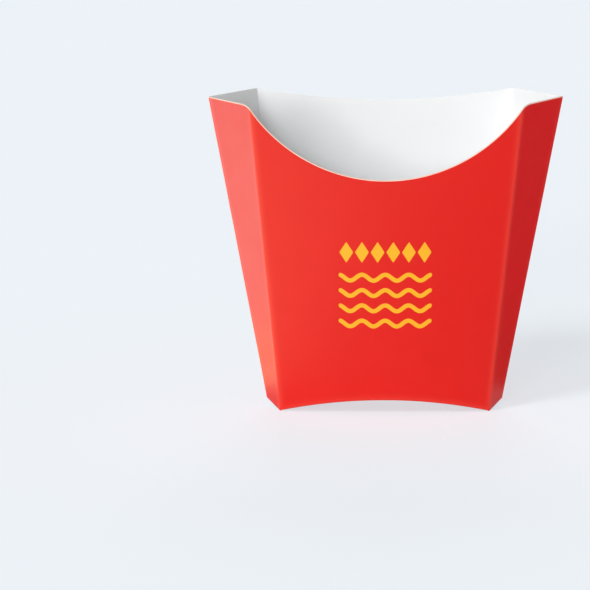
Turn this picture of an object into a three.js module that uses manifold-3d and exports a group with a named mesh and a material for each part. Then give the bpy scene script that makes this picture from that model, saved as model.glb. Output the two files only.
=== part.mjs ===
// A takeaway carton for french fries: one sheet of board, die-cut, scored, folded and glued.
// The front and back panels, the four wings beside them, the floor and the two glue flaps are
// one piece. Millimetres, +Z up, the front with its scoop faces -Y, and the carton stands on
// the four corners of its base at z = 0.

import * as THREE from 'three';
import { mergeVertices } from 'three/addons/utils/BufferGeometryUtils.js';
import Module from 'manifold-3d';

// The board and its folds
const boardThickness = 0.5;
const foldInnerRadius = 0.9;
const creaseInnerRadius = 0.6;

// The outer faces, at the rim and at the base corners
const rimHeight = 125.5;
const rimPanelWidth = 104.5;
const basePanelWidth = 83.8;
const rimWingWidth = 35.5;
const baseWingWidth = 10.6;
const wingTurnDegrees = 60;
const rimBow = 3;
const baseBow = 6;

// The cut and creased ends
const scoopDepth = 29.1;
const scoopOverrun = 0.5;
const scoopCornerRadius = 5.5;
const backDip = 5;
const archRise = 6;
const outerCreaseLift = 3.5;
const floorEndGap = 0.6;

// The glue flaps, carried by the back wings and glued inside the front wings
const flapRimWidth = 12;
const flapBaseWidth = 7;
const flapEndInset = 6;
const flapEndSlopeDegrees = 45;

// How finely curves are divided
const panelSteps = 24;
const foldSteps = 4;
const wallLevels = 10;
const scoopSteps = 48;
const cornerSteps = 6;
const archSteps = 32;

// Cutters and wall lofts run past what they cut by this much
const overrun = 6;

const red = 0xe6392c;

const wingTurn = THREE.MathUtils.degToRad(wingTurnDegrees);
const lerp = THREE.MathUtils.lerp;

const wasm = await Module();
wasm.setup();

// A closed mesh as a solid that can be cut and joined
function toSolid(geometry) {
  const bare = geometry.clone();
  bare.deleteAttribute('normal');
  bare.deleteAttribute('uv');
  const merged = mergeVertices(bare, 1e-5);
  return new wasm.Manifold(new wasm.Mesh({
    numProp: 3,
    vertProperties: new Float32Array(merged.attributes.position.array),
    triVerts: new Uint32Array(merged.index.array),
  }));
}

// A solid back as a mesh geometry with flat facets
function toGeometry(solid) {
  const mesh = solid.getMesh();
  const shared = new THREE.BufferGeometry();
  shared.setAttribute('position', new THREE.BufferAttribute(mesh.vertProperties, 3));
  shared.setIndex(new THREE.BufferAttribute(mesh.triVerts, 1));
  const geometry = shared.toNonIndexed();
  geometry.computeVertexNormals();
  return geometry;
}

// Points along a circular arc, its ends included
function arc(centreX, centreY, radius, fromAngle, toAngle, steps) {
  const points = [];
  for (let i = 0; i <= steps; i += 1) {
    const angle = lerp(fromAngle, toAngle, i / steps);
    points.push(new THREE.Vector2(
      centreX + radius * Math.cos(angle), centreY + radius * Math.sin(angle),
    ));
  }
  return points;
}

// The curve that the floor's arch and the panels' bow share: 1 in the middle, 0 at the folds
function crown(u) {
  return 1 - u * u;
}

// The sizes of a level section; share is 0 at the base corners and 1 at the rim
function sectionSizes(share) {
  const half = lerp(basePanelWidth, rimPanelWidth, share) / 2;
  const wing = lerp(baseWingWidth, rimWingWidth, share);
  return {
    half,
    depth: wing * Math.sin(wingTurn),
    reach: half + wing * Math.cos(wingTurn),
    bow: lerp(baseBow, rimBow, share),
  };
}

// The bowed front panel's line in a level section, from the left fold to the right one
function frontPanelLine({ half, depth, bow }) {
  const line = [];
  for (let i = 0; i <= panelSteps; i += 1) {
    const u = (2 * i) / panelSteps - 1;
    line.push(new THREE.Vector2(u * half, -depth - bow * crown(u)));
  }
  return line;
}

// A fold seen end on: an arc that replaces the corner between its two neighbours
function roundedCorner(before, corner, after, innerRadius) {
  const radius = innerRadius + boardThickness;
  const back = before.clone().sub(corner).normalize();
  const onward = after.clone().sub(corner).normalize();
  const halfAngle = Math.acos(back.dot(onward)) / 2;
  const turn = Math.PI - 2 * halfAngle;
  const centre = back.clone().add(onward).setLength(radius / Math.sin(halfAngle)).add(corner);
  const start = back.clone().multiplyScalar(radius / Math.tan(halfAngle)).add(corner).sub(centre);
  return arc(centre.x, centre.y, radius, start.angle(), start.angle() + turn, foldSteps);
}

// The carton's outer face in a level section, anticlockwise seen from above
function outerLine(share) {
  const sizes = sectionSizes(share);
  const front = frontPanelLine(sizes);
  const back = front.map((point) => new THREE.Vector2(-point.x, -point.y));
  const right = new THREE.Vector2(sizes.reach, 0);
  const left = new THREE.Vector2(-sizes.reach, 0);
  const panelWithFolds = (panel, before, after) => [
    ...roundedCorner(before, panel[0], panel[1], foldInnerRadius),
    ...panel.slice(1, -1),
    ...roundedCorner(panel.at(-2), panel.at(-1), after, foldInnerRadius),
  ];
  return [
    ...panelWithFolds(front, left, right),
    ...roundedCorner(front.at(-1), right, back[0], creaseInnerRadius),
    ...panelWithFolds(back, right, left),
    ...roundedCorner(back.at(-1), left, front[0], creaseInnerRadius),
  ];
}

// The same line moved inwards by a distance
function movedInwards(line, distance) {
  return line.map((point, i) => {
    const before = line.at(i - 1);
    const after = line[(i + 1) % line.length];
    const along = after.clone().sub(before).normalize();
    return new THREE.Vector2(point.x - along.y * distance, point.y + along.x * distance);
  });
}

// A filled loft through level sections, with a flat cap at each end
function loft(lines, heights) {
  const count = lines[0].length;
  const positions = [];
  const index = [];
  lines.forEach((line, level) => {
    line.forEach((point) => positions.push(point.x, point.y, heights[level]));
  });
  for (let level = 0; level + 1 < lines.length; level += 1) {
    for (let i = 0; i < count; i += 1) {
      const a = level * count + i;
      const b = level * count + ((i + 1) % count);
      index.push(a, b, b + count, a, b + count, a + count);
    }
  }
  const capAt = (level, upwards) => {
    const centre = positions.length / 3;
    positions.push(0, 0, heights[level]);
    for (let i = 0; i < count; i += 1) {
      const a = level * count + i;
      const b = level * count + ((i + 1) % count);
      index.push(centre, ...(upwards ? [a, b] : [b, a]));
    }
  };
  capAt(0, false);
  capAt(lines.length - 1, true);
  const geometry = new THREE.BufferGeometry();
  geometry.setAttribute('position', new THREE.Float32BufferAttribute(positions, 3));
  geometry.setIndex(index);
  return toSolid(geometry);
}

// The tapered body within the board's outer face, or within the face that lies an inset further in
function taperedBody(inset, extra) {
  const heights = [-extra];
  for (let level = 0; level <= wallLevels; level += 1) {
    heights.push((rimHeight * level) / wallLevels);
  }
  heights.push(rimHeight + extra);
  const lines = heights.map((z) => movedInwards(outerLine(z / rimHeight), inset));
  return loft(lines, heights);
}

// A solid with a front-view outline in x and z that runs from one y to another
function frontViewSolid(points, yFrom, yTo) {
  const extruded = new THREE.ExtrudeGeometry(new THREE.Shape(points), {
    depth: yTo - yFrom, bevelEnabled: false,
  });
  extruded.rotateX(Math.PI / 2);
  extruded.translate(0, yTo, 0);
  return toSolid(extruded);
}

const widest = sectionSizes(1).reach + overrun;
const deepest = sectionSizes(1).depth + Math.max(rimBow, baseBow) + overrun;
const skyHeight = rimHeight + 2 * overrun;

// Closes an edge, given from left to right, with straight sides up to above the carton
function aboveEdge(edge) {
  return [
    ...edge,
    new THREE.Vector2(edge.at(-1).x, skyHeight),
    new THREE.Vector2(edge[0].x, skyHeight),
  ];
}

// Everything above the level rim, to which the wings reach
function rimCutter() {
  const edge = [new THREE.Vector2(-widest, rimHeight), new THREE.Vector2(widest, rimHeight)];
  return frontViewSolid(aboveEdge(edge), -deepest, deepest);
}

// The scoop in the front: one arc from fold to fold, with rounded corners into the wing tops
function scoopCutter() {
  const halfChord = rimPanelWidth / 2 + scoopOverrun;
  const radius = (halfChord ** 2 + scoopDepth ** 2) / (2 * scoopDepth);
  const centreZ = rimHeight - scoopDepth + radius;
  const cornerZ = rimHeight - scoopCornerRadius;
  const cornerX = Math.sqrt((radius + scoopCornerRadius) ** 2 - (centreZ - cornerZ) ** 2);
  const slant = Math.atan2(centreZ - cornerZ, cornerX);
  const edge = [
    ...arc(-cornerX, cornerZ, scoopCornerRadius, Math.PI / 2, slant, cornerSteps),
    ...arc(0, centreZ, radius, Math.PI + slant, 2 * Math.PI - slant, scoopSteps).slice(1),
    ...arc(cornerX, cornerZ, scoopCornerRadius, Math.PI - slant, Math.PI / 2, cornerSteps).slice(1),
  ];
  return frontViewSolid(aboveEdge(edge), -deepest, 0);
}

// The shallow dip in the back panel's top edge, between its side folds
function backDipCutter() {
  const halfChord = rimPanelWidth / 2;
  const radius = (halfChord ** 2 + backDip ** 2) / (2 * backDip);
  const centreZ = rimHeight - backDip + radius;
  const slant = Math.atan2(centreZ - rimHeight, halfChord);
  const edge = arc(0, centreZ, radius, Math.PI + slant, 2 * Math.PI - slant, scoopSteps);
  return frontViewSolid(aboveEdge(edge), 0, deepest);
}

// The arched bottom edge, from the right base corner to the left one, raised by a distance
function archLine(halfWidth, raised) {
  const points = [];
  for (let i = 0; i <= archSteps; i += 1) {
    const u = 1 - (2 * i) / archSteps;
    const x = u * halfWidth;
    const z = archRise * crown(x / (basePanelWidth / 2)) + raised;
    points.push(new THREE.Vector2(x, z));
  }
  return points;
}

// Everything below the bottom edges: the arch under the panels, slants under the wings
function baseCutter() {
  const half = basePanelWidth / 2;
  const creaseX = sectionSizes(outerCreaseLift / rimHeight).reach;
  const slope = outerCreaseLift / (creaseX - half);
  const outermostZ = (widest - half) * slope;
  return frontViewSolid([
    new THREE.Vector2(-widest, -2 * overrun), new THREE.Vector2(widest, -2 * overrun),
    new THREE.Vector2(widest, outermostZ), ...archLine(half, 0),
    new THREE.Vector2(-widest, outermostZ),
  ], -deepest, deepest);
}

// The floor: it springs from the curved creases, vaulted lengthwise, and its ends are cut straight
function floorStrip() {
  const halfLength = basePanelWidth / 2 - floorEndGap;
  return frontViewSolid([
    ...archLine(halfLength, boardThickness), ...archLine(halfLength, -overrun).reverse(),
  ], -deepest, deepest);
}

// A glue flap against the inner face of a front wing; side is 1 on the right, -1 on the left
function glueFlap(side) {
  const base = sectionSizes(0);
  const rim = sectionSizes(1);
  const foot = new THREE.Vector3(side * base.reach, 0, 0);
  const top = new THREE.Vector3(side * rim.reach, 0, rimHeight);
  const foldFoot = new THREE.Vector3(side * base.half, -base.depth, 0);
  const length = top.distanceTo(foot);
  const up = top.sub(foot).normalize();
  const across = foldFoot.sub(foot).projectOnPlane(up).normalize();
  const normal = across.clone().cross(up);
  const endSlope = Math.tan(THREE.MathUtils.degToRad(flapEndSlopeDegrees));
  const outline = new THREE.Shape([
    new THREE.Vector2(boardThickness, flapEndInset),
    new THREE.Vector2(flapBaseWidth, flapEndInset + flapBaseWidth * endSlope),
    new THREE.Vector2(flapRimWidth, length - flapEndInset - flapRimWidth * endSlope),
    new THREE.Vector2(boardThickness, length - flapEndInset),
  ]);
  const flap = new THREE.ExtrudeGeometry(outline, {
    depth: 1.5 * boardThickness, bevelEnabled: false,
  });
  const inner = side > 0 ? 0.5 * boardThickness : -2 * boardThickness;
  flap.translate(0, 0, inner);
  flap.applyMatrix4(new THREE.Matrix4().makeBasis(across, up, normal).setPosition(foot));
  return toSolid(flap);
}

const outerBody = taperedBody(0, overrun / 2);
const innerBody = taperedBody(boardThickness, overrun);
const board = outerBody
  .subtract(innerBody)
  .add(floorStrip().intersect(outerBody))
  .add(glueFlap(1))
  .add(glueFlap(-1))
  .subtract(rimCutter())
  .subtract(scoopCutter())
  .subtract(backDipCutter())
  .subtract(baseCutter());

const carton = new THREE.Mesh(
  toGeometry(board),
  new THREE.MeshStandardMaterial({ color: red, roughness: 0.45, metalness: 0 }),
);
carton.name = 'carton';

// The origin is the middle of the carton's footprint, which its cut front sets off the fold plane
const group = new THREE.Group();
group.add(carton);
carton.geometry.computeBoundingBox();
carton.position.y = -carton.geometry.boundingBox.getCenter(new THREE.Vector3()).y;

export default group;
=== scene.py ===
"""A french fry carton of die-cut, printed and folded board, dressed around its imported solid.

Metres, +Z up. The scooped front faces -Y and the carton stands on its four base corners.
The board is one sheet: the walls, the vaulted floor and the two glue flaps, with a printed
outer side, a bare inner side and cut edges. A plain geometric print stands on the front.
"""

import logging
import math
from collections.abc import Callable
from dataclasses import dataclass
from enum import Enum

import bpy
from mathutils import Matrix, Vector


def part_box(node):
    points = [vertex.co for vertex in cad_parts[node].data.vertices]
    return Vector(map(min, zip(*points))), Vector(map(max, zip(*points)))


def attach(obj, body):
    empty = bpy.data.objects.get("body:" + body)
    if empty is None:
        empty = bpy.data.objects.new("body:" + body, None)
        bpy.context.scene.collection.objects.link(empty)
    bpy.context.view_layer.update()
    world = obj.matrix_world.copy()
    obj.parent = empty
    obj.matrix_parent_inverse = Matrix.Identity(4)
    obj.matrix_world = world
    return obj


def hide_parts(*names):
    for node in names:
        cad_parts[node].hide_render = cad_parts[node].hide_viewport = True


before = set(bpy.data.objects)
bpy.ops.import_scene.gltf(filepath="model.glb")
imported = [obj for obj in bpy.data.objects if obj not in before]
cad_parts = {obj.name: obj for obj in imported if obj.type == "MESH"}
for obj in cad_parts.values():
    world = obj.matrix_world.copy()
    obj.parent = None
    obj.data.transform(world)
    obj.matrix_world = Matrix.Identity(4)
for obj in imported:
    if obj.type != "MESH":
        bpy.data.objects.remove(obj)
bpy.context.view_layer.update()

MM = 0.001
CARTON_NODE = "carton"

Colour = tuple[float, float, float]
NodeValue = bpy.types.NodeSocket | float | Colour
log = logging.getLogger("fry_carton")


class BoardSide(Enum):
    """The board's three finishes, numbered as its material slots are."""

    PRINTED = 0
    BARE = 1
    CUT_EDGE = 2


class NodeSheet:
    """The shader nodes of one material or world."""

    MIX_SHARE = 0
    MIX_FIRST_COLOUR = 6
    MIX_SECOND_COLOUR = 7
    MIX_RESULT_COLOUR = 2

    def __init__(self, tree: bpy.types.NodeTree) -> None:
        """Empties the tree.

        Args:
            tree: the node tree of the material or the world.
        """
        self.tree = tree
        tree.nodes.clear()

    def add(
        self,
        kind: str,
        inputs: dict[str | int, NodeValue] | None = None,
        options: dict[str, str | bool] | None = None,
    ) -> bpy.types.Node:
        """Adds a node.

        Args:
            kind: the node's type name.
            inputs: what goes into its sockets, each a value or another node's output.
            options: its own settings, such as a mode.

        Returns:
            The new node.
        """
        node = self.tree.nodes.new(kind)
        for name, value in (options or {}).items():
            setattr(node, name, value)
        for name, value in (inputs or {}).items():
            self.feed(node.inputs[name], value)
        return node

    def feed(self, socket: bpy.types.NodeSocket, value: NodeValue) -> None:
        """Links a socket to an output, or sets its value.

        Args:
            socket: the input socket.
            value: another node's output, a number or a colour.
        """
        if isinstance(value, bpy.types.NodeSocket):
            self.tree.links.new(value, socket)
        elif socket.type == "RGBA":
            socket.default_value = (*value, 1.0)
        else:
            socket.default_value = value

    def noise(self, place: bpy.types.NodeSocket, scale: float, detail: float) -> bpy.types.NodeSocket:
        """Adds a noise pattern.

        Args:
            place: the coordinates that the pattern lies in.
            scale: features per metre.
            detail: how many finer layers it has.

        Returns:
            The pattern's value, from 0 to 1.
        """
        node = self.add("ShaderNodeTexNoise", {"Vector": place, "Scale": scale, "Detail": detail})
        return node.outputs["Fac"]

    def between(
        self,
        value: bpy.types.NodeSocket,
        low: float,
        high: float,
        from_low: float = 0.0,
        from_high: float = 1.0,
    ) -> bpy.types.NodeSocket:
        """Maps a pattern's value to a range.

        Args:
            value: the pattern's value.
            low: the result where the pattern is at or below from_low.
            high: the result where the pattern is at or above from_high.
            from_low: the pattern's lower end.
            from_high: the pattern's upper end.

        Returns:
            The mapped value.
        """
        node = self.add(
            "ShaderNodeMapRange",
            {
                "Value": value,
                "From Min": from_low,
                "From Max": from_high,
                "To Min": low,
                "To Max": high,
            },
        )
        return node.outputs["Result"]

    def mark(self, name: str) -> bpy.types.NodeSocket:
        """Reads a number that the mesh carries on its points.

        Args:
            name: the attribute's name.

        Returns:
            The number.
        """
        return self.add("ShaderNodeAttribute", options={"attribute_name": name}).outputs["Fac"]

    def grain_bump(
        self, height: bpy.types.NodeSocket, strength: float, depth: float
    ) -> bpy.types.NodeSocket:
        """Adds the fine relief of a pattern.

        Args:
            height: the pattern's value.
            strength: how much of the relief shows.
            depth: the pattern's depth in metres.

        Returns:
            The bumped normal.
        """
        node = self.add(
            "ShaderNodeBump", {"Height": height, "Strength": strength, "Distance": depth}
        )
        return node.outputs["Normal"]

    def blend(self, share: NodeValue, first: NodeValue, second: NodeValue) -> bpy.types.NodeSocket:
        """Blends two colours.

        Args:
            share: 0 gives the first colour and 1 the second.
            first: the first colour.
            second: the second colour.

        Returns:
            The blended colour.
        """
        node = self.add(
            "ShaderNodeMix",
            {
                self.MIX_SHARE: share,
                self.MIX_FIRST_COLOUR: first,
                self.MIX_SECOND_COLOUR: second,
            },
            {"data_type": "RGBA"},
        )
        return node.outputs[self.MIX_RESULT_COLOUR]

    def finish(self, shader: bpy.types.NodeSocket, output: str) -> None:
        """Joins a shader to the tree's output.

        Args:
            shader: the shader's socket.
            output: the output node's type name.
        """
        self.add(output, {"Surface": shader})


def new_material(name: str) -> tuple[bpy.types.Material, NodeSheet]:
    """Makes an empty node material.

    Args:
        name: the material's name.

    Returns:
        The material and its node sheet.
    """
    material = bpy.data.materials.new(name)
    material.use_nodes = True
    return material, NodeSheet(material.node_tree)


@dataclass(frozen=True)
class PrintedFace:
    """Red ink on coated board: even and satin. It is paler on the folds, partly as cracked ink and
    partly as a painted highlight, and along the rim it gives way to a pale painted highlight.
    """

    red: Colour = (0.77, 0.013, 0.008)
    deeper_red: Colour = (0.73, 0.010, 0.006)
    # the paler ink on the folds: partly cracked ink, partly a painted highlight
    fold_crack_and_highlight_red: Colour = (0.90, 0.085, 0.055)
    # a pale painted highlight along the rim, in place of the print
    rim_highlight: Colour = (0.92, 0.62, 0.50)
    rim_highlight_start: float = 0.30
    rim_highlight_full: float = 0.42
    roughness: float = 0.46
    roughness_spread: float = 0.05
    specular: float = 0.25
    mottle_scale: float = 90.0
    mottle_detail: float = 3.0
    grain_scale: float = 2600.0
    grain_detail: float = 2.0
    grain_strength: float = 0.25
    grain_depth: float = 0.02 * MM
    # how pale the folds get: partly cracked ink, partly a painted highlight
    least_fold_crack_and_highlight: float = 0.275
    most_fold_crack_and_highlight: float = 0.55

    def make(self) -> bpy.types.Material:
        """Makes the material.

        Returns:
            The printed face's material.
        """
        material, sheet = new_material("printed_red")
        place = sheet.add("ShaderNodeTexCoord").outputs["Object"]
        mottle = sheet.noise(place, self.mottle_scale, self.mottle_detail)
        grain = sheet.noise(place, self.grain_scale, self.grain_detail)
        # Paler print near the folds: partly cracked ink, partly a painted highlight on the folds
        paleness = sheet.between(grain, self.least_fold_crack_and_highlight, self.most_fold_crack_and_highlight)
        fold_crack_and_highlight_share = sheet.add(
            "ShaderNodeMath", {0: sheet.mark("fold"), 1: paleness}, {"operation": "MULTIPLY"}
        ).outputs[0]
        # A pale painted highlight along the rim, where the print gives way
        painted_rim_highlight = sheet.between(
            sheet.mark("rim"), 0.0, 1.0, self.rim_highlight_start, self.rim_highlight_full
        )
        ink = sheet.blend(mottle, self.red, self.deeper_red)
        ink_with_fold_crack_and_highlight = sheet.blend(fold_crack_and_highlight_share, ink, self.fold_crack_and_highlight_red)
        shader = sheet.add(
            "ShaderNodeBsdfPrincipled",
            {
                "Base Color": sheet.blend(painted_rim_highlight, ink_with_fold_crack_and_highlight, self.rim_highlight),
                "Roughness": sheet.between(
                    mottle,
                    self.roughness - self.roughness_spread,
                    self.roughness + self.roughness_spread,
                ),
                "Specular IOR Level": self.specular,
                "Normal": sheet.grain_bump(grain, self.grain_strength, self.grain_depth),
            },
        )
        sheet.finish(shader.outputs["BSDF"], "ShaderNodeOutputMaterial")
        return material


@dataclass(frozen=True)
class BareBoard:
    """The white inner side of the board: uncoated, with a fine fibre grain."""

    white: Colour = (0.90, 0.905, 0.91)
    greyer_white: Colour = (0.87, 0.875, 0.88)
    roughness: float = 0.8
    specular: float = 0.2
    cloud_scale: float = 60.0
    cloud_detail: float = 2.0
    fibre_scale: float = 1500.0
    fibre_detail: float = 4.0
    fibre_strength: float = 0.35
    fibre_depth: float = 0.03 * MM

    def make(self) -> bpy.types.Material:
        """Makes the material.

        Returns:
            The bare side's material.
        """
        material, sheet = new_material("bare_board")
        place = sheet.add("ShaderNodeTexCoord").outputs["Object"]
        cloud = sheet.noise(place, self.cloud_scale, self.cloud_detail)
        fibre = sheet.noise(place, self.fibre_scale, self.fibre_detail)
        shader = sheet.add(
            "ShaderNodeBsdfPrincipled",
            {
                "Base Color": sheet.blend(cloud, self.white, self.greyer_white),
                "Roughness": self.roughness,
                "Specular IOR Level": self.specular,
                "Normal": sheet.grain_bump(fibre, self.fibre_strength, self.fibre_depth),
            },
        )
        sheet.finish(shader.outputs["BSDF"], "ShaderNodeOutputMaterial")
        return material


@dataclass(frozen=True)
class CutEdge:
    """The board's die-cut edge: pale pulp with a breath of the red ink drawn over it."""

    pulp: Colour = (0.92, 0.80, 0.74)
    tinged_pulp: Colour = (0.90, 0.66, 0.58)
    roughness: float = 0.85
    specular: float = 0.2
    streak_scale: float = 700.0
    streak_detail: float = 2.0

    def make(self) -> bpy.types.Material:
        """Makes the material.

        Returns:
            The cut edge's material.
        """
        material, sheet = new_material("cut_edge")
        place = sheet.add("ShaderNodeTexCoord").outputs["Object"]
        streak = sheet.noise(place, self.streak_scale, self.streak_detail)
        shader = sheet.add(
            "ShaderNodeBsdfPrincipled",
            {
                "Base Color": sheet.blend(streak, self.pulp, self.tinged_pulp),
                "Roughness": self.roughness,
                "Specular IOR Level": self.specular,
            },
        )
        sheet.finish(shader.outputs["BSDF"], "ShaderNodeOutputMaterial")
        return material


@dataclass(frozen=True)
class YellowInk:
    """The warm yellow ink of the front's print."""

    yellow: Colour = (1.0, 0.50, 0.024)
    deeper_yellow: Colour = (0.95, 0.45, 0.017)
    roughness: float = 0.45
    specular: float = 0.25
    mottle_scale: float = 400.0
    mottle_detail: float = 3.0

    def make(self) -> bpy.types.Material:
        """Makes the material.

        Returns:
            The ink's material.
        """
        material, sheet = new_material("yellow_ink")
        place = sheet.add("ShaderNodeTexCoord").outputs["Object"]
        mottle = sheet.noise(place, self.mottle_scale, self.mottle_detail)
        shader = sheet.add(
            "ShaderNodeBsdfPrincipled",
            {
                "Base Color": sheet.blend(mottle, self.yellow, self.deeper_yellow),
                "Roughness": self.roughness,
                "Specular IOR Level": self.specular,
            },
        )
        sheet.finish(shader.outputs["BSDF"], "ShaderNodeOutputMaterial")
        return material


def deselect_all() -> None:
    """Leaves object mode with nothing selected."""
    if bpy.context.object and bpy.context.object.mode != "OBJECT":
        bpy.ops.object.mode_set(mode="OBJECT")
    bpy.ops.object.select_all(action="DESELECT")


def pick(piece: bpy.types.Object) -> None:
    """Selects one object alone and makes it active.

    Args:
        piece: the object.
    """
    deselect_all()
    piece.select_set(True)
    bpy.context.view_layer.objects.active = piece


def clear_selection(mesh: bpy.types.Mesh) -> None:
    """Leaves nothing of a mesh selected.

    Args:
        mesh: the mesh, in object mode.
    """
    for parts in (mesh.polygons, mesh.edges, mesh.vertices):
        for part in parts:
            part.select = False


def select_edges(piece: bpy.types.Object, wanted: Callable[[Vector, Vector], bool]) -> None:
    """Selects a mesh's edges by where their two ends are, and enters edit mode.

    Args:
        piece: the mesh object, which becomes active.
        wanted: says for an edge's two ends whether it is selected.
    """
    pick(piece)
    mesh = piece.data
    bpy.context.tool_settings.mesh_select_mode = (False, True, False)
    clear_selection(mesh)
    for edge in mesh.edges:
        first, second = (mesh.vertices[i] for i in edge.vertices)
        if wanted(first.co, second.co):
            for part in (edge, first, second):
                part.select = True
    bpy.ops.object.mode_set(mode="EDIT")


def apply_modifier(
    piece: bpy.types.Object, kind: str, settings: dict[str, float | bool | str | int]
) -> None:
    """Adds a modifier and applies it.

    Args:
        piece: the mesh object.
        kind: the modifier's type name.
        settings: the modifier's values by name.
    """
    pick(piece)
    modifier = piece.modifiers.new(kind.lower(), kind)
    for name, value in settings.items():
        setattr(modifier, name, value)
    bpy.ops.object.modifier_apply(modifier=modifier.name)


def join(pieces: list[bpy.types.Object], name: str) -> bpy.types.Object:
    """Joins mesh objects into the first of them.

    Args:
        pieces: the objects, of which the first stays.
        name: the joined object's name.

    Returns:
        The joined object.
    """
    pick(pieces[0])
    for piece in pieces[1:]:
        piece.select_set(True)
    bpy.ops.object.join()
    pieces[0].name = name
    return pieces[0]


def corner_arc(
    corner: Vector, arrive: Vector, leave: Vector, radius: float, steps: int
) -> list[Vector]:
    """The arc that rounds a left-hand corner of an outline.

    Args:
        corner: the sharp corner.
        arrive: the unit direction of the side before it.
        leave: the unit direction of the side after it.
        radius: the arc's radius.
        steps: how many chords it has.

    Returns:
        The arc's points, its ends included.
    """
    turn = math.acos(max(-1.0, min(1.0, arrive.dot(leave))))
    start = corner - arrive * radius * math.tan(0.5 * turn)
    centre = start + Vector((-arrive.y, arrive.x)) * radius
    spoke = start - centre
    return [centre + Matrix.Rotation(turn * i / steps, 2) @ spoke for i in range(steps + 1)]


def crown(u: float) -> float:
    """The curve of the bow and the arch: 1 in the middle, 0 at the folds."""
    return 1.0 - u * u


def lerp(first: float, second: float, share: float) -> float:
    """The value that lies a share of the way from the first to the second."""
    return first + (second - first) * share


@dataclass(frozen=True)
class LevelSection:
    """The carton's outer sizes at one level.

    They are half a panel's width, the depth of a panel's side folds from the fold plane, the
    reach of the outer creases from the middle, and the panels' bow.
    """

    half: float
    depth: float
    reach: float
    bow: float


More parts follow.
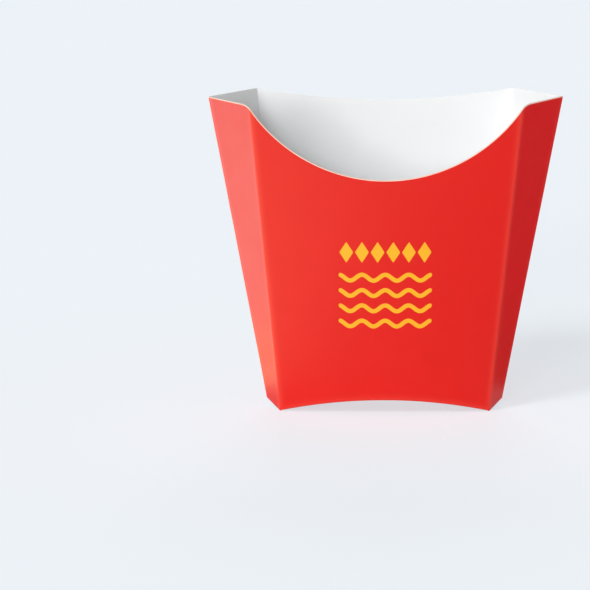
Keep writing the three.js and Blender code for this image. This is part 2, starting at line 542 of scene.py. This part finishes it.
@dataclass
class FoldedBoard:
    """The whole die-cut sheet, folded and glued: walls, floor and glue flaps."""

    height: float
    fold_plane: float
    board: float = 0.5 * MM
    fold_inner_radius: float = 0.9 * MM
    crease_inner_radius: float = 0.6 * MM
    rim_panel_width: float = 104.5 * MM
    base_panel_width: float = 83.8 * MM
    rim_wing_width: float = 35.5 * MM
    base_wing_width: float = 10.6 * MM
    wing_turn: float = math.radians(60.0)
    rim_bow: float = 3.0 * MM
    base_bow: float = 6.0 * MM
    scoop_depth: float = 29.1 * MM
    scoop_overrun: float = 0.5 * MM
    scoop_corner_radius: float = 5.5 * MM
    back_dip: float = 5.0 * MM
    arch_rise: float = 6.0 * MM
    outer_crease_lift: float = 3.5 * MM
    floor_crease_round: float = 0.6 * MM
    floor_crease_steps: int = 3
    crease_tolerance: float = 0.02 * MM
    longest_crease_step: float = 2.0 * MM
    flap_rim_width: float = 12.0 * MM
    flap_base_width: float = 7.0 * MM
    flap_end_inset: float = 6.0 * MM
    flap_corner: float = 1.5 * MM
    flap_corner_steps: int = 4
    flap_gap: float = 0.03 * MM
    fold_band: float = 1.5 * MM
    wave_height: float = 0.16 * MM
    wave_length: float = 34.0 * MM
    edge_round: float = 0.06 * MM
    edge_steps: int = 2
    edge_angle: float = math.radians(55.0)
    smooth_angle: float = math.radians(32.0)
    rim_band: float = 0.55 * MM
    rim_share: float = 0.6
    least_slant: float = 0.5
    panel_steps: int = 40
    fold_steps: int = 6
    wing_steps: int = 18
    crease_steps: int = 3
    wall_rows: int = 56
    floor_rows: int = 8
    meeting_rounds: int = 20

    def section(self, share: float) -> LevelSection:
        """The outer sizes at a level.

        Args:
            share: 0 at the base corners and 1 at the rim.

        Returns:
            The sizes there.
        """
        half = 0.5 * lerp(self.base_panel_width, self.rim_panel_width, share)
        wing = lerp(self.base_wing_width, self.rim_wing_width, share)
        return LevelSection(
            half=half,
            depth=wing * math.sin(self.wing_turn),
            reach=half + wing * math.cos(self.wing_turn),
            bow=lerp(self.base_bow, self.rim_bow, share),
        )

    def quarter_outline(self, share: float) -> list[Vector]:
        """A quarter of a level outline, from the front's middle to the right outer crease.

        Args:
            share: 0 at the base corners and 1 at the rim.

        Returns:
            Points in x and y, with the fold plane at y = 0.
        """
        level = self.section(share)
        fold = Vector((level.half, -level.depth))
        crease = Vector((level.reach, 0.0))
        panel_end = Vector((level.half, 2.0 * level.bow)).normalized()
        wing = (crease - fold).normalized()
        fold_arc = corner_arc(
            fold, panel_end, wing, self.fold_inner_radius + self.board, self.fold_steps
        )
        crease_arc = corner_arc(
            crease,
            wing,
            Vector((-wing.x, wing.y)),
            self.crease_inner_radius + self.board,
            2 * self.crease_steps,
        )
        points = []
        for i in range(self.panel_steps):
            x = fold_arc[0].x * math.sin(0.5 * math.pi * i / self.panel_steps)
            points.append(Vector((x, -level.depth - level.bow * crown(x / level.half))))
        points += fold_arc[:-1]
        for i in range(self.wing_steps):
            points.append(fold_arc[-1].lerp(crease_arc[0], (i / self.wing_steps) ** 2))
        return points + crease_arc[: self.crease_steps + 1]

    def outline(self, share: float) -> list[Vector]:
        """A whole level outline, anticlockwise from the front's middle.

        Args:
            share: 0 at the base corners and 1 at the rim.

        Returns:
            Points in x and y, with the fold plane at y = 0.
        """
        quarter = self.quarter_outline(share)
        right = quarter + [Vector((p.x, -p.y)) for p in reversed(quarter[:-1])]
        left = [Vector((-p.x, p.y)) for p in reversed(right[1:-1])]
        return right + left

    def scoop_edge(self, x: float) -> float:
        """The height of the front's top edge: scoop, rounded corners and level wing tops.

        Args:
            x: the place along the carton's width.

        Returns:
            The edge's height there.
        """
        half_chord = 0.5 * self.rim_panel_width + self.scoop_overrun
        radius = (half_chord**2 + self.scoop_depth**2) / (2.0 * self.scoop_depth)
        centre_z = self.height - self.scoop_depth + radius
        corner_z = self.height - self.scoop_corner_radius
        both = radius + self.scoop_corner_radius
        corner_x = math.sqrt(both**2 - (centre_z - corner_z) ** 2)
        out = abs(x)
        if out >= corner_x:
            return self.height
        if out >= corner_x * radius / both:
            return corner_z + math.sqrt(self.scoop_corner_radius**2 - (corner_x - out) ** 2)
        return centre_z - math.sqrt(radius**2 - out**2)

    def dip_edge(self, x: float) -> float:
        """The height of the back's top edge: a shallow dip between level wing tops.

        Args:
            x: the place along the carton's width.

        Returns:
            The edge's height there.
        """
        half_chord = 0.5 * self.rim_panel_width
        if abs(x) >= half_chord:
            return self.height
        radius = (half_chord**2 + self.back_dip**2) / (2.0 * self.back_dip)
        return self.height - self.back_dip + radius - math.sqrt(radius**2 - x**2)

    def base_edge(self, x: float) -> float:
        """The height of the bottom edge: the arch under the panels, slants under the wings.

        Args:
            x: the place along the carton's width.

        Returns:
            The edge's height there.
        """
        half = 0.5 * self.base_panel_width
        if abs(x) <= half:
            return self.arch_rise * crown(x / half)
        crease_x = self.section(self.outer_crease_lift / self.height).reach
        return (abs(x) - half) * self.outer_crease_lift / (crease_x - half)

    def meeting(self, foot: Vector, head: Vector, edge: Callable[[float], float]) -> Vector:
        """Where a straight column of the wall meets an edge, found by repeated guesses.

        Args:
            foot: the column's place in x and y at the base level.
            head: its place at the rim level.
            edge: the edge's height by x.

        Returns:
            The meeting point.
        """
        share = 0.0
        for _ in range(self.meeting_rounds):
            share = edge(foot.lerp(head, share).x) / self.height
        place = foot.lerp(head, share)
        return Vector((place.x, place.y + self.fold_plane, share * self.height))

    def wall_sheet(self) -> bpy.types.Object:
        """Shapes the walls from two rings that are bridged and drawn to the folded outline.

        The rings start at +X and the outline at the front's middle, a quarter turn before.

        Returns:
            The walls as one open surface.
        """
        feet = self.outline(0.0)
        heads = self.outline(1.0)
        count = len(feet)
        deselect_all()
        bpy.ops.mesh.primitive_circle_add(vertices=count, radius=1.0)
        sheet = bpy.context.object
        bpy.ops.object.mode_set(mode="EDIT")
        bpy.ops.mesh.primitive_circle_add(vertices=count, radius=1.0, location=(0.0, 0.0, 1.0))
        bpy.ops.mesh.select_all(action="SELECT")
        bpy.ops.mesh.bridge_edge_loops(number_cuts=self.wall_rows - 1, interpolation="LINEAR")
        bpy.ops.object.mode_set(mode="OBJECT")
        ends = []
        for foot, head in zip(feet, heads):
            top_edge = self.scoop_edge if foot.y < 0.0 else self.dip_edge
            ends.append(
                (self.meeting(foot, head, self.base_edge), self.meeting(foot, head, top_edge))
            )
        for vertex in sheet.data.vertices:
            turn = (math.atan2(vertex.co.y, vertex.co.x) / math.tau + 0.25) % 1.0
            bottom, top = ends[round(turn * count) % count]
            vertex.co = bottom.lerp(top, vertex.co.z)
        return sheet

    def on_floor_crease(self, point: Vector) -> bool:
        """Says whether a point lies on one of the two curved creases beside the floor.

        Args:
            point: a point of the walls.

        Returns:
            True on a crease, short of the panel's side folds.
        """
        level = self.section(point.z / self.height)
        if abs(point.x) > level.half - 0.5 * self.fold_inner_radius:
            return False
        wall_y = level.depth + level.bow * crown(point.x / level.half)
        off_edge = abs(point.z - self.base_edge(point.x))
        off_wall = abs(abs(point.y - self.fold_plane) - wall_y)
        return max(off_edge, off_wall) < self.crease_tolerance

    def add_floor(self, sheet: bpy.types.Object) -> None:
        """Bridges the two curved creases with the vaulted floor and rounds them.

        Args:
            sheet: the walls.
        """
        def is_crease(first: Vector, second: Vector) -> bool:
            """Says whether an edge lies on a floor crease."""
            return self.on_floor_crease(first) and self.on_floor_crease(second)

        select_edges(sheet, is_crease)
        bpy.ops.mesh.bridge_edge_loops(number_cuts=self.floor_rows - 1, interpolation="LINEAR")
        bpy.ops.object.mode_set(mode="OBJECT")
        select_edges(
            sheet, lambda a, b: is_crease(a, b) and abs(a.y - b.y) < self.longest_crease_step
        )
        bpy.ops.mesh.bevel(
            offset=self.floor_crease_round, segments=self.floor_crease_steps, affect="EDGES"
        )
        bpy.ops.object.mode_set(mode="OBJECT")

    def glue_flap(self, side: int) -> bpy.types.Object:
        """Shapes the flap that is glued to the inner face of a front wing.

        Args:
            side: 1 on the right and -1 on the left.

        Returns:
            The flap as an open surface, its outer side towards the wing.
        """
        base = self.section(0.0)
        rim = self.section(1.0)
        foot = Vector((side * base.reach, self.fold_plane, 0.0))
        top = Vector((side * rim.reach, self.fold_plane, self.height))
        fold_foot = Vector((side * base.half, self.fold_plane - base.depth, 0.0))
        length = (top - foot).length
        up = (top - foot).normalized()
        across = fold_foot - foot
        across = (across - up * across.dot(up)).normalized()
        inwards = across.cross(up) * side
        start = 2.0 * self.board
        corners = [
            (start, self.flap_end_inset),
            (self.flap_base_width, self.flap_end_inset + self.flap_base_width),
            (self.flap_rim_width, length - self.flap_end_inset - self.flap_rim_width),
            (start, length - self.flap_end_inset),
        ]
        deselect_all()
        bpy.ops.mesh.primitive_circle_add(vertices=4, radius=1.0, fill_type="NGON")
        flap = bpy.context.object
        lift = inwards * (self.board + self.flap_gap)
        for vertex, (out, along) in zip(flap.data.vertices, corners):
            vertex.co = foot + across * out + up * along + lift
        clear_selection(flap.data)
        bpy.context.tool_settings.mesh_select_mode = (True, False, False)
        for vertex in flap.data.vertices[1:3]:
            vertex.select = True
        bpy.ops.object.mode_set(mode="EDIT")
        bpy.ops.mesh.bevel(
            offset=self.flap_corner, segments=self.flap_corner_steps, affect="VERTICES"
        )
        bpy.ops.object.mode_set(mode="OBJECT")
        if flap.data.polygons[0].normal.dot(inwards) > 0.0:
            flap.data.flip_normals()
        return flap

    def fold_nearness(self, point: Vector) -> float:
        """How close a point of the sheet is to a fold or crease.

        Args:
            point: the point.

        Returns:
            1 on a fold, falling to 0 beyond the fold's band.
        """
        level = self.section(point.z / self.height)
        out = abs(point.x)
        deep = abs(point.y - self.fold_plane)
        wall_y = level.depth + level.bow * crown(min(1.0, out / level.half))
        gaps = [
            math.hypot(out - level.half, deep - level.depth),
            math.hypot(out - level.reach, deep),
            math.hypot(deep - wall_y, point.z - self.base_edge(point.x)),
        ]
        return math.exp(-((min(gaps) / self.fold_band) ** 2))

    def mark_rim(self, sheet: bpy.types.Object) -> None:
        """Marks the rim's points and lifts the next row to a narrow band below them.

        Within this band a pale painted highlight takes the place of the print, so the cut edge shows
        as a pale line.

        Args:
            sheet: the folded surface, without thickness.
        """
        pick(sheet)
        bpy.ops.object.mode_set(mode="EDIT")
        bpy.ops.mesh.select_mode(type="FACE")
        bpy.ops.mesh.select_all(action="SELECT")
        bpy.ops.mesh.region_to_loop()
        bpy.ops.object.mode_set(mode="OBJECT")
        points = sheet.data.vertices
        lowest = self.rim_share * self.height
        rim = {point.index for point in points if point.select and point.co.z > lowest}
        marks = sheet.data.attributes.new("rim", "FLOAT", "POINT")
        along: dict[int, list[Vector]] = {index: [] for index in rim}
        below: dict[int, int] = {}
        for index in rim:
            marks.data[index].value = 1.0
        for edge in sheet.data.edges:
            for one, other in (edge.vertices, reversed(edge.vertices)):
                if one in rim and other in rim:
                    along[one].append(points[other].co.copy())
                elif one in rim:
                    below[one] = other
        for one, other in below.items():
            down = (points[other].co - points[one].co).normalized()
            run = (along[one][0] - along[one][-1]).normalized()
            slant = max(self.least_slant, down.cross(run).length)
            points[other].co = points[one].co + down * (self.rim_band / slant)

    def mark_folds(self, sheet: bpy.types.Object) -> None:
        """Writes the nearness to a fold on every point, where the print pales, partly as cracked ink
        and partly as a painted highlight on the folds.

        Args:
            sheet: the folded surface.
        """
        marks = sheet.data.attributes.new("fold", "FLOAT", "POINT")
        for vertex in sheet.data.vertices:
            marks.data[vertex.index].value = self.fold_nearness(vertex.co)

    def give_thickness(self, sheet: bpy.types.Object) -> None:
        """Gives the surface a board's slow waves, its thickness and soft cut edges.

        Args:
            sheet: the folded surface, whose faces point outwards.
        """
        clouds = bpy.data.textures.new("board_waves", "CLOUDS")
        clouds.noise_scale = self.wave_length
        clouds.noise_depth = 1
        apply_modifier(
            sheet,
            "DISPLACE",
            {"texture": clouds, "strength": self.wave_height, "texture_coords": "LOCAL"},
        )
        apply_modifier(
            sheet,
            "SOLIDIFY",
            {
                "thickness": self.board,
                "offset": -1.0,
                "use_even_offset": True,
                "use_quality_normals": True,
                "material_offset": BoardSide.BARE.value,
                "material_offset_rim": BoardSide.CUT_EDGE.value,
            },
        )
        apply_modifier(
            sheet,
            "BEVEL",
            {
                "width": self.edge_round,
                "segments": self.edge_steps,
                "limit_method": "ANGLE",
                "angle_limit": self.edge_angle,
            },
        )

    def build(self) -> bpy.types.Object:
        """Builds and dresses the folded board.

        Returns:
            The finished object.
        """
        sheet = self.wall_sheet()
        self.add_floor(sheet)
        pick(sheet)
        bpy.ops.object.mode_set(mode="EDIT")
        bpy.ops.mesh.select_all(action="SELECT")
        bpy.ops.mesh.normals_make_consistent(inside=False)
        bpy.ops.object.mode_set(mode="OBJECT")
        self.mark_rim(sheet)
        sheet = join([sheet, self.glue_flap(1), self.glue_flap(-1)], "folded_board")
        self.mark_folds(sheet)
        sheet.data.materials.clear()
        finishes = {
            BoardSide.PRINTED: PrintedFace(),
            BoardSide.BARE: BareBoard(),
            BoardSide.CUT_EDGE: CutEdge(),
        }
        for side in BoardSide:
            sheet.data.materials.append(finishes[side].make())
        self.give_thickness(sheet)
        pick(sheet)
        bpy.ops.object.shade_smooth_by_angle(angle=self.smooth_angle)
        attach(sheet, "root")
        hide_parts(CARTON_NODE)
        return sheet


@dataclass
class FrontPrint:
    """The front's print: a row of lozenges above wavy stripes, as thin ink on the board."""

    board: bpy.types.Object
    width: float = 36.5 * MM
    lozenge_count: int = 6
    lozenge_height: float = 8.5 * MM
    lozenge_gap: float = 0.7 * MM
    lozenge_level: float = 67.6 * MM
    lozenge_round: float = 0.35 * MM
    lozenge_round_steps: int = 3
    lozenge_cuts: int = 3
    stripe_count: int = 4
    stripe_pitch: float = 6.3 * MM
    top_stripe_level: float = 57.3 * MM
    stripe_width: float = 1.7 * MM
    stripe_swing: float = 1.2 * MM
    swings: int = 4
    stripe_steps: int = 180
    stripe_rows: int = 2
    cap_end: float = 0.05
    ink: float = 0.02 * MM
    proud: float = 0.03 * MM
    start_y: float = -60.0 * MM

    def lozenge(self, place: int) -> bpy.types.Object:
        """Shapes one lozenge of the row.

        Args:
            place: its number in the row, from the left.

        Returns:
            A flat lozenge in front of the carton.
        """
        pitch = self.width / self.lozenge_count
        x = (place + 0.5) * pitch - 0.5 * self.width
        deselect_all()
        bpy.ops.mesh.primitive_circle_add(
            vertices=4,
            radius=1.0,
            fill_type="NGON",
            location=(x, self.start_y, self.lozenge_level),
            rotation=(0.5 * math.pi, 0.0, 0.0),
        )
        shape = bpy.context.object
        shape.scale = (0.5 * (pitch - self.lozenge_gap), 0.5 * self.lozenge_height, 1.0)
        bpy.ops.object.transform_apply(location=True, rotation=True, scale=True)
        bpy.ops.object.mode_set(mode="EDIT")
        bpy.ops.mesh.select_all(action="SELECT")
        bpy.ops.mesh.bevel(
            offset=self.lozenge_round, segments=self.lozenge_round_steps, affect="VERTICES"
        )
        bpy.ops.mesh.poke()
        bpy.ops.mesh.subdivide(number_cuts=self.lozenge_cuts)
        bpy.ops.object.mode_set(mode="OBJECT")
        return shape

    def stripe(self, row: int) -> bpy.types.Object:
        """Shapes one wavy stripe with round ends.

        Args:
            row: its number, from the top.

        Returns:
            A flat stripe in front of the carton.
        """
        deselect_all()
        bpy.ops.mesh.primitive_grid_add(
            x_subdivisions=self.stripe_steps,
            y_subdivisions=self.stripe_rows,
            size=1.0,
            rotation=(0.5 * math.pi, 0.0, 0.0),
        )
        shape = bpy.context.object
        bpy.ops.object.transform_apply(location=True, rotation=True, scale=True)
        level = self.top_stripe_level - row * self.stripe_pitch
        half_width = 0.5 * self.stripe_width
        pace = math.tau * self.swings / self.width
        for vertex in shape.data.vertices:
            x = vertex.co.x * self.width
            into_cap = max(0.0, abs(x) - 0.5 * self.width + half_width) / half_width
            swell = max(self.cap_end, math.sqrt(max(0.0, 1.0 - min(1.0, into_cap) ** 2)))
            line = Vector((x, level + self.stripe_swing * math.cos(pace * x)))
            slope = -self.stripe_swing * pace * math.sin(pace * x)
            across = Vector((-slope, 1.0)).normalized()
            place = line + across * (vertex.co.z * self.stripe_width * swell)
            vertex.co = (place.x, self.start_y, place.y)
        return shape

    def build(self) -> bpy.types.Object:
        """Builds the print, lays it on the bowed front and dresses it.

        Returns:
            The finished object.
        """
        shapes = [self.lozenge(i) for i in range(self.lozenge_count)]
        shapes += [self.stripe(i) for i in range(self.stripe_count)]
        ink = join(shapes, "front_print")
        apply_modifier(
            ink,
            "SHRINKWRAP",
            {
                "target": self.board,
                "wrap_method": "PROJECT",
                "use_project_y": True,
                "use_positive_direction": True,
                "use_negative_direction": False,
                "offset": self.proud,
            },
        )
        if ink.data.polygons[0].normal.y > 0.0:
            ink.data.flip_normals()
        apply_modifier(ink, "SOLIDIFY", {"thickness": self.ink, "offset": -1.0})
        ink.data.materials.clear()
        ink.data.materials.append(YellowInk().make())
        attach(ink, "root")
        return ink


@dataclass(frozen=True)
class SoftLight:
    """A wide, distant studio light, placed by its direction from the carton."""

    name: str
    left_of_front: float
    elevation: float
    level: float
    spread: float

    def make(self) -> None:
        """Adds the light."""
        deselect_all()
        bpy.ops.object.light_add(
            type="SUN",
            location=(0.0, 0.0, 1.0),
            rotation=(
                math.radians(90.0 - self.elevation),
                0.0,
                math.radians(-self.left_of_front),
            ),
        )
        light = bpy.context.object
        light.name = self.name
        light.data.energy = self.level * math.pi
        light.data.angle = math.radians(self.spread)

    def on_floor(self) -> float:
        """How bright this light alone makes a white floor."""
        return self.level * math.sin(math.radians(self.elevation))


@dataclass(frozen=True)
class GlossCard:
    """A card beside the carton that shows only in its soft reflections."""

    name: str
    centre: tuple[float, float, float]
    size: tuple[float, float]
    facing: tuple[float, float, float]
    glow: float
    colour: Colour

    def make(self) -> None:
        """Adds the card, which the camera, the lights and the shadows pass by."""
        deselect_all()
        turn = Vector(self.facing).to_track_quat("Z", "Y").to_euler()
        bpy.ops.mesh.primitive_plane_add(size=1.0, location=self.centre, rotation=turn)
        card = bpy.context.object
        card.name = self.name
        card.scale = (*self.size, 1.0)
        for ray in ("camera", "diffuse", "transmission", "volume_scatter", "shadow"):
            setattr(card, f"visible_{ray}", False)
        material, sheet = new_material(self.name)
        light = sheet.add("ShaderNodeEmission", {"Color": self.colour, "Strength": self.glow})
        sheet.finish(light.outputs[0], "ShaderNodeOutputMaterial")
        card.data.materials.append(material)


@dataclass
class Studio:
    """The pale floor, the even surroundings, the soft lights and the cards."""

    background: Colour = (0.838, 0.888, 0.930)
    ambient: float = 0.18
    floor_size: float = 24.0
    floor_white: float = 0.88
    seen_share: float = 0.30
    lights: tuple[SoftLight, ...] = (
        SoftLight("key_left", left_of_front=45.0, elevation=35.0, level=0.49, spread=18.0),
        SoftLight("low_front", left_of_front=17.0, elevation=14.0, level=0.22, spread=14.0),
        SoftLight("lowest_front", left_of_front=24.0, elevation=4.0, level=0.20, spread=12.0),
        SoftLight("low_right", left_of_front=-75.0, elevation=1.0, level=0.28, spread=16.0),
        SoftLight("soft_back", left_of_front=180.0, elevation=25.0, level=0.25, spread=40.0),
    )
    cards: tuple[GlossCard, ...] = (
        GlossCard(
            "bright_card_left",
            centre=(-0.129, 0.031, 0.066),
            size=(0.16, 0.13),
            facing=(0.84, -0.54, 0.0),
            glow=2.9,
            colour=(0.72, 0.94, 0.86),
        ),
        GlossCard(
            "bright_card_front",
            centre=(-0.26, -0.12, 0.002),
            size=(0.40, 0.60),
            facing=(0.0, 0.0, 1.0),
            glow=3.8,
            colour=(0.70, 0.88, 0.55),
        ),
        GlossCard(
            "red_card_right",
            centre=(0.129, 0.031, 0.081),
            size=(0.20, 0.16),
            facing=(-0.84, -0.54, 0.0),
            glow=1.2,
            colour=(1.0, 0.0, 0.06),
        ),
        GlossCard(
            "red_card_front",
            centre=(0.26, -0.12, 0.002),
            size=(0.40, 0.60),
            facing=(0.0, 0.0, 1.0),
            glow=0.6,
            colour=(1.0, 0.08, 0.12),
        ),
    )

    def seen_directly(self, sheet: NodeSheet) -> bpy.types.NodeSocket:
        """Whether a ray comes from the camera, or through or off a glossy surface.

        Args:
            sheet: the node sheet to add to.

        Returns:
            1 for such a ray and 0 for the others.
        """
        path = sheet.add("ShaderNodeLightPath")
        seen = path.outputs["Is Camera Ray"]
        for ray in ("Is Glossy Ray", "Is Transmission Ray"):
            seen = sheet.add(
                "ShaderNodeMath", {0: seen, 1: path.outputs[ray]}, {"operation": "MAXIMUM"}
            ).outputs[0]
        return seen

    def make_world(self) -> None:
        """Makes the surroundings: an even light, seen as the background colour."""
        world = bpy.data.worlds.new("studio")
        world.use_nodes = True
        bpy.context.scene.world = world
        sheet = NodeSheet(world.node_tree)
        light = sheet.add(
            "ShaderNodeBackground", {"Color": (1.0, 1.0, 1.0), "Strength": self.ambient}
        )
        seen = sheet.add("ShaderNodeBackground", {"Color": self.background, "Strength": 1.0})
        mixed = sheet.add(
            "ShaderNodeMixShader",
            {0: self.seen_directly(sheet), 1: light.outputs[0], 2: seen.outputs[0]},
        )
        sheet.finish(mixed.outputs[0], "ShaderNodeOutputWorld")

    def make_floor(self) -> None:
        """Makes the floor, which takes the shadow and blends into the background."""
        deselect_all()
        bpy.ops.mesh.primitive_plane_add(size=self.floor_size)
        floor = bpy.context.object
        floor.name = "floor"
        material, sheet = new_material("pale_floor")
        floor_light = self.ambient + sum(light.on_floor() for light in self.lights)
        shadowed = tuple(self.seen_share * c / floor_light for c in self.background)
        glow = tuple((1.0 - self.seen_share) * c for c in self.background)
        seen = sheet.add(
            "ShaderNodeAddShader",
            {
                0: sheet.add("ShaderNodeBsdfDiffuse", {"Color": shadowed}).outputs[0],
                1: sheet.add("ShaderNodeEmission", {"Color": glow, "Strength": 1.0}).outputs[0],
            },
        )
        white = (self.floor_white, self.floor_white, self.floor_white)
        bouncing = sheet.add("ShaderNodeBsdfDiffuse", {"Color": white})
        mixed = sheet.add(
            "ShaderNodeMixShader",
            {0: self.seen_directly(sheet), 1: bouncing.outputs[0], 2: seen.outputs[0]},
        )
        sheet.finish(mixed.outputs[0], "ShaderNodeOutputMaterial")
        floor.data.materials.append(material)

    def build(self) -> None:
        """Makes the surroundings, the floor, the lights and the cards."""
        self.make_world()
        self.make_floor()
        for item in (*self.lights, *self.cards):
            item.make()
        bpy.context.scene.view_settings.view_transform = "Standard"


@dataclass(frozen=True)
class PhotoCamera:
    """The camera, fitted to the carton's corners. Its place counts from the fold plane."""

    fold_plane: float
    place: tuple[float, float, float] = (-9.42 * MM, -875.56 * MM, 224.89 * MM)
    yaw: float = math.radians(-1.7369)
    pitch: float = math.radians(11.5696)
    roll: float = math.radians(-0.2996)
    lens: float = 135.83
    sensor: float = 36.0
    nearest: float = 0.01
    farthest: float = 100.0

    def build(self) -> None:
        """Adds the camera and makes it the scene's."""
        forward = Vector(
            (
                math.sin(self.yaw) * math.cos(self.pitch),
                math.cos(self.yaw) * math.cos(self.pitch),
                -math.sin(self.pitch),
            )
        )
        level_right = Vector((math.cos(self.yaw), -math.sin(self.yaw), 0.0))
        level_up = level_right.cross(forward)
        right = level_right * math.cos(self.roll) + level_up * math.sin(self.roll)
        up = level_up * math.cos(self.roll) - level_right * math.sin(self.roll)
        deselect_all()
        bpy.ops.object.camera_add()
        camera = bpy.context.object
        turned = Matrix((right, up, -forward)).transposed().to_4x4()
        turned.translation = Vector(self.place) + Vector((0.0, self.fold_plane, 0.0))
        camera.matrix_world = turned
        camera.data.sensor_width = self.sensor
        camera.data.lens = self.lens
        camera.data.clip_start = self.nearest
        camera.data.clip_end = self.farthest
        bpy.context.scene.camera = camera


def report(piece: bpy.types.Object) -> None:
    """Logs a finished piece with its face count."""
    log.info("%s: %d faces", piece.name, len(piece.data.polygons))


def main() -> None:
    """Builds the camera, the carton's pieces and the studio in order."""
    logging.basicConfig(level=logging.INFO, format="%(message)s")
    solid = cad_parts[CARTON_NODE]
    outermost = max(solid.data.vertices, key=lambda vertex: vertex.co.x)
    fold_plane = outermost.co.y
    PhotoCamera(fold_plane).build()
    board = FoldedBoard(height=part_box(CARTON_NODE)[1].z, fold_plane=fold_plane).build()
    report(board)
    report(FrontPrint(board).build())
    Studio().build()


if __name__ == "__main__":
    main()
